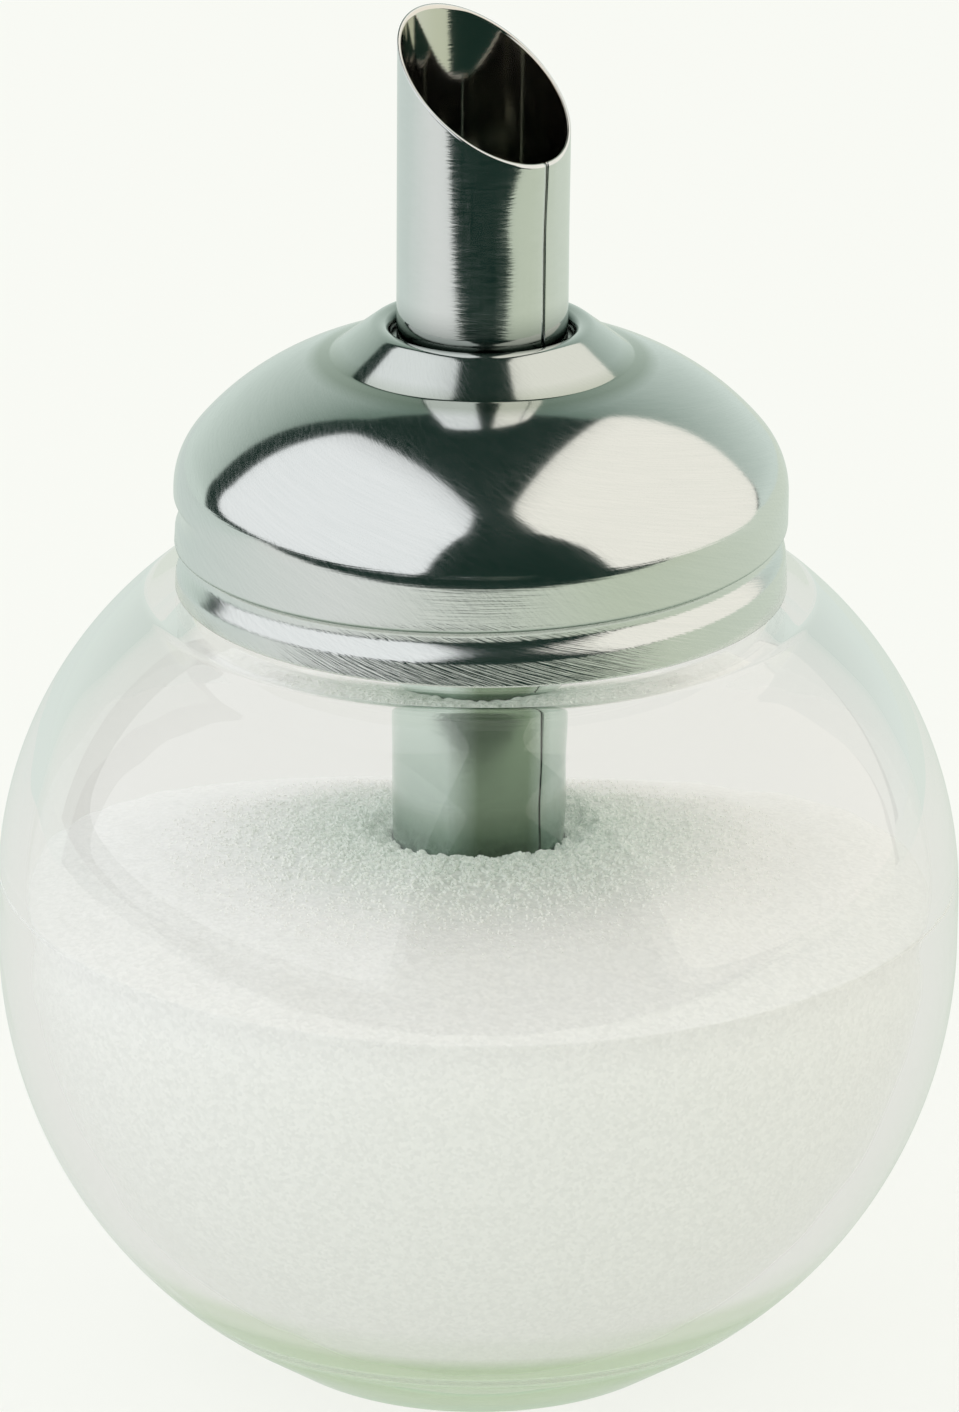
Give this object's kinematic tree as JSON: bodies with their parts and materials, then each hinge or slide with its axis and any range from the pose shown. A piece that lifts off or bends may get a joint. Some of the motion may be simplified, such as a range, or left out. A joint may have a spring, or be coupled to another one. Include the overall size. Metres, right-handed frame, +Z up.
{
  "type": "sugar dispenser with flap",
  "caption": "Ball-shaped glass sugar dispenser with a domed steel screw cap, a slanted pour tube that reaches into the sugar, and a flap valve inside the tube.",
  "frame": {"origin": "middle of the foot, on the table", "axes": "+Z up along the jar's axis; +X towards the low side of the slanted mouth, which is also the side of the tube's seam"},
  "size_m": [0.095, 0.095, 0.136],
  "materials": {
    "jar_glass": "clear pressed glass with a slight green tint",
    "sugar": "loose white granulated sugar, matt",
    "seal": "soft off-white seal",
    "liner_steel": "plain satin steel sheet",
    "cap_steel": "polished stainless steel with fine brush marks",
    "tube_steel": "stainless steel with lengthwise brush marks",
    "pin_steel": "bright steel",
    "flap_steel": "plain satin steel sheet"
  },
  "bodies": {
    "jar": {"glass_jar": "jar_glass", "sugar_fill": "sugar"},
    "seal": {"seal_ring": "seal"},
    "liner": {"liner_plate": "liner_steel"},
    "cap": {"cap_shell": "cap_steel", "pour_tube": "tube_steel", "tube_ferrule": "liner_steel", "lock_ring": "pin_steel", "valve_seat": "liner_steel", "flap_pin": "pin_steel"},
    "flap": {"flap": "flap_steel"}
  },
  "joints": [
    {"name": "cap_lift", "type": "slide", "parent": "jar", "child": "seal", "axis": [0, 0, 1], "range_m": [0, 0.1]},
    {"name": "cap_rise", "type": "slide", "parent": "seal", "child": "liner", "axis": [0, 0, 1], "range_m": [0, 0.006]},
    {"name": "cap_turn", "type": "hinge", "parent": "liner", "child": "cap", "pos_m": [0, 0, 0.0795], "axis": [0, 0, 1], "range_deg": [0, 450]},
    {"name": "flap_swing", "type": "hinge", "parent": "cap", "child": "flap", "pos_m": [-0.0062, 0, 0.11137], "axis": [0, -1, 0], "range_deg": [0, 70]}
  ],
  "couplings": [
    {"joint": "cap_rise", "follows": "cap_turn", "m_per_rad": 0.00074803}
  ]
}
